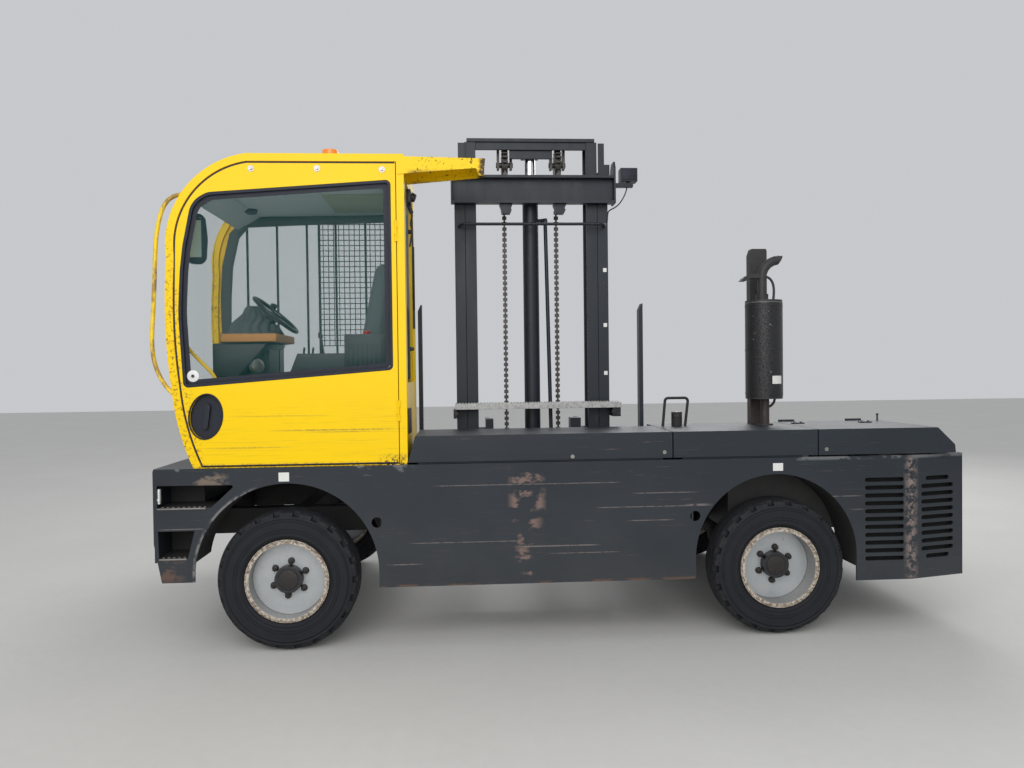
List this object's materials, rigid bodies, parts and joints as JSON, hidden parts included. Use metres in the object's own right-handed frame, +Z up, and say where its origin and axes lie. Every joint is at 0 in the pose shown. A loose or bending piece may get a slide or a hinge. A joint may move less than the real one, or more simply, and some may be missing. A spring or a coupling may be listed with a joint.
{
  "type": "side loader forklift",
  "caption": "Side loading forklift with an offset cab, a reaching mast in a central well, fork carriage, engine hoods, load decks and steered front wheels.",
  "frame": {"origin": "on the ground under the middle of the whole machine's box", "axes": "+X towards the engine end, +Y towards the load side, +Z up"},
  "size_m": [4.9051, 2.2, 3.1919],
  "materials": {
    "chassis_paint": "worn satin",
    "mast_paint": "satin",
    "cab_paint": "gloss",
    "rim_paint": "worn satin",
    "black_plastic": "matte",
    "grey_plastic": "matte",
    "tyre": "matte",
    "seal_rubber": "matte",
    "cab_glass": "clear",
    "seat_fabric": "woven",
    "bare_steel": "worn",
    "cylinder_rod": "polished",
    "chain_steel": "oiled",
    "galvanised": "galvanised",
    "exhaust_steel": "heat stained",
    "engine_paint": "oily",
    "beacon_lens": "clear gloss",
    "mirror_glass": "polished",
    "lamp_plastic": "gloss"
  },
  "bodies": {
    "chassis": {"cab_side_panel": "chassis_paint", "corner_grille": "chassis_paint", "load_side_panels": "chassis_paint", "end_panels": "chassis_paint", "spine_beam": "chassis_paint", "chassis_frame": "chassis_paint", "reach_rails": "chassis_paint", "load_decks": "chassis_paint", "arch_liners": "chassis_paint", "cab_steps": "bare_steel", "headlamps": "lamp_plastic", "fixed_hoods": "chassis_paint", "engine_block": "engine_paint", "axles": "chassis_paint", "cab_frame": "cab_paint", "cab_roof": "cab_paint", "cab_nose": "cab_paint", "cab_rear_wall": "cab_paint", "cab_far_wall": "cab_paint", "cab_floor": "black_plastic", "cab_glass": "cab_glass", "window_guard": "black_plastic", "roof_arm": "cab_paint", "grab_rail": "cab_paint", "beacon": "beacon_lens", "seat": "seat_fabric", "dash": "grey_plastic", "mirror": "mirror_glass", "exhaust_stack": "exhaust_steel", "hood_hoop": "bare_steel"},
    "knuckle_left": {"knuckle_front_left": "chassis_paint"},
    "knuckle_right": {"knuckle_front_right": "chassis_paint"},
    "wheel_front_left": {"tyre_front_left": "tyre", "rim_front_left": "rim_paint"},
    "wheel_front_right": {"tyre_front_right": "tyre", "rim_front_right": "rim_paint"},
    "wheel_rear_left": {"tyre_rear_left": "tyre", "rim_rear_left": "rim_paint"},
    "wheel_rear_right": {"tyre_rear_right": "tyre", "rim_rear_right": "rim_paint"},
    "steering": {"steering_wheel": "black_plastic"},
    "door": {"cab_door": "cab_paint", "door_trim": "seal_rubber", "door_glass": "cab_glass"},
    "engine_lid": {"rear_hood": "chassis_paint"},
    "reach_carriage": {"reach_frame": "mast_paint"},
    "mast_outer": {"outer_mast": "mast_paint", "lift_cylinder": "mast_paint", "near_chains": "chain_steel", "mast_fittings": "mast_paint", "guard_plank": "galvanised"},
    "mast_inner": {"inner_mast": "mast_paint", "lift_rod": "cylinder_rod", "sheaves": "chain_steel", "far_chains": "chain_steel"},
    "carriage": {"fork_carriage": "mast_paint", "forks": "bare_steel"},
    "tilt_cylinders": {"tilt_barrels": "mast_paint"},
    "tilt_pistons": {"tilt_rods": "cylinder_rod"}
  },
  "joints": [
    {"name": "steer_left", "type": "hinge", "parent": "chassis", "child": "knuckle_left", "pos_m": [-1.699, -0.827, 0.412], "axis": [0, 0, 1], "range_deg": [-35, 35]},
    {"name": "steer_right", "type": "hinge", "parent": "chassis", "child": "knuckle_right", "pos_m": [-1.699, 0.827, 0.412], "axis": [0, 0, 1], "range_deg": [-36, 36]},
    {"name": "spin_front_left", "type": "hinge", "parent": "knuckle_left", "child": "wheel_front_left", "pos_m": [-1.699, -0.977, 0.412], "axis": [0, 1, 0], "continuous": true},
    {"name": "spin_front_right", "type": "hinge", "parent": "knuckle_right", "child": "wheel_front_right", "pos_m": [-1.699, 0.977, 0.412], "axis": [0, 1, 0], "continuous": true},
    {"name": "spin_rear_left", "type": "hinge", "parent": "chassis", "child": "wheel_rear_left", "pos_m": [1.251, -0.977, 0.412], "axis": [0, 1, 0], "continuous": true},
    {"name": "spin_rear_right", "type": "hinge", "parent": "chassis", "child": "wheel_rear_right", "pos_m": [1.251, 0.977, 0.412], "axis": [0, 1, 0], "continuous": true},
    {"name": "steering_turn", "type": "hinge", "parent": "chassis", "child": "steering", "pos_m": [-1.84, -0.648, 1.998], "axis": [0.6548, 0, 0.7558], "range_deg": [-330, 330]},
    {"name": "door_swing", "type": "hinge", "parent": "chassis", "child": "door", "pos_m": [-1.037, -1.091, 1.9], "axis": [0, 0, 1], "range_deg": [0, 85]},
    {"name": "lid_swing", "type": "hinge", "parent": "chassis", "child": "engine_lid", "pos_m": [1.8235, -0.398, 1.256], "axis": [-1, 0, 0], "range_deg": [0, 75]},
    {"name": "reach", "type": "slide", "parent": "chassis", "child": "reach_carriage", "axis": [0, 1, 0], "range_m": [0, 1.15]},
    {"name": "mast_tilt", "type": "hinge", "parent": "reach_carriage", "child": "mast_outer", "pos_m": [-0.182, -0.34, 0.5], "axis": [1, 0, 0], "range_deg": [-3, 4]},
    {"name": "tilt_barrel_swing", "type": "hinge", "parent": "reach_carriage", "child": "tilt_cylinders", "pos_m": [-0.182, -0.46, 0.56], "axis": [1, 0, 0], "range_deg": [-3.6, 4.8]},
    {"name": "tilt_rod_slide", "type": "slide", "parent": "tilt_cylinders", "child": "tilt_pistons", "axis": [0, 0, 1], "range_m": [-0.009, 0.007]},
    {"name": "mast_lift", "type": "slide", "parent": "mast_outer", "child": "mast_inner", "axis": [0, 0, 1], "range_m": [-0.15, 1.6], "deforming": ["near_chains"]},
    {"name": "carriage_lift", "type": "slide", "parent": "mast_inner", "child": "carriage", "axis": [0, 0, 1], "range_m": [-0.151, 1.601], "deforming": ["far_chains"]}
  ],
  "couplings": [
    {"joint": "steer_right", "follows": "steer_left", "ratio": 1},
    {"joint": "steering_turn", "follows": "steer_left", "ratio": -9},
    {"joint": "tilt_barrel_swing", "follows": "mast_tilt", "ratio": 1.117},
    {"joint": "tilt_rod_slide", "follows": "mast_tilt", "m_per_rad": -0.12},
    {"joint": "carriage_lift", "follows": "mast_lift", "ratio": 1}
  ]
}
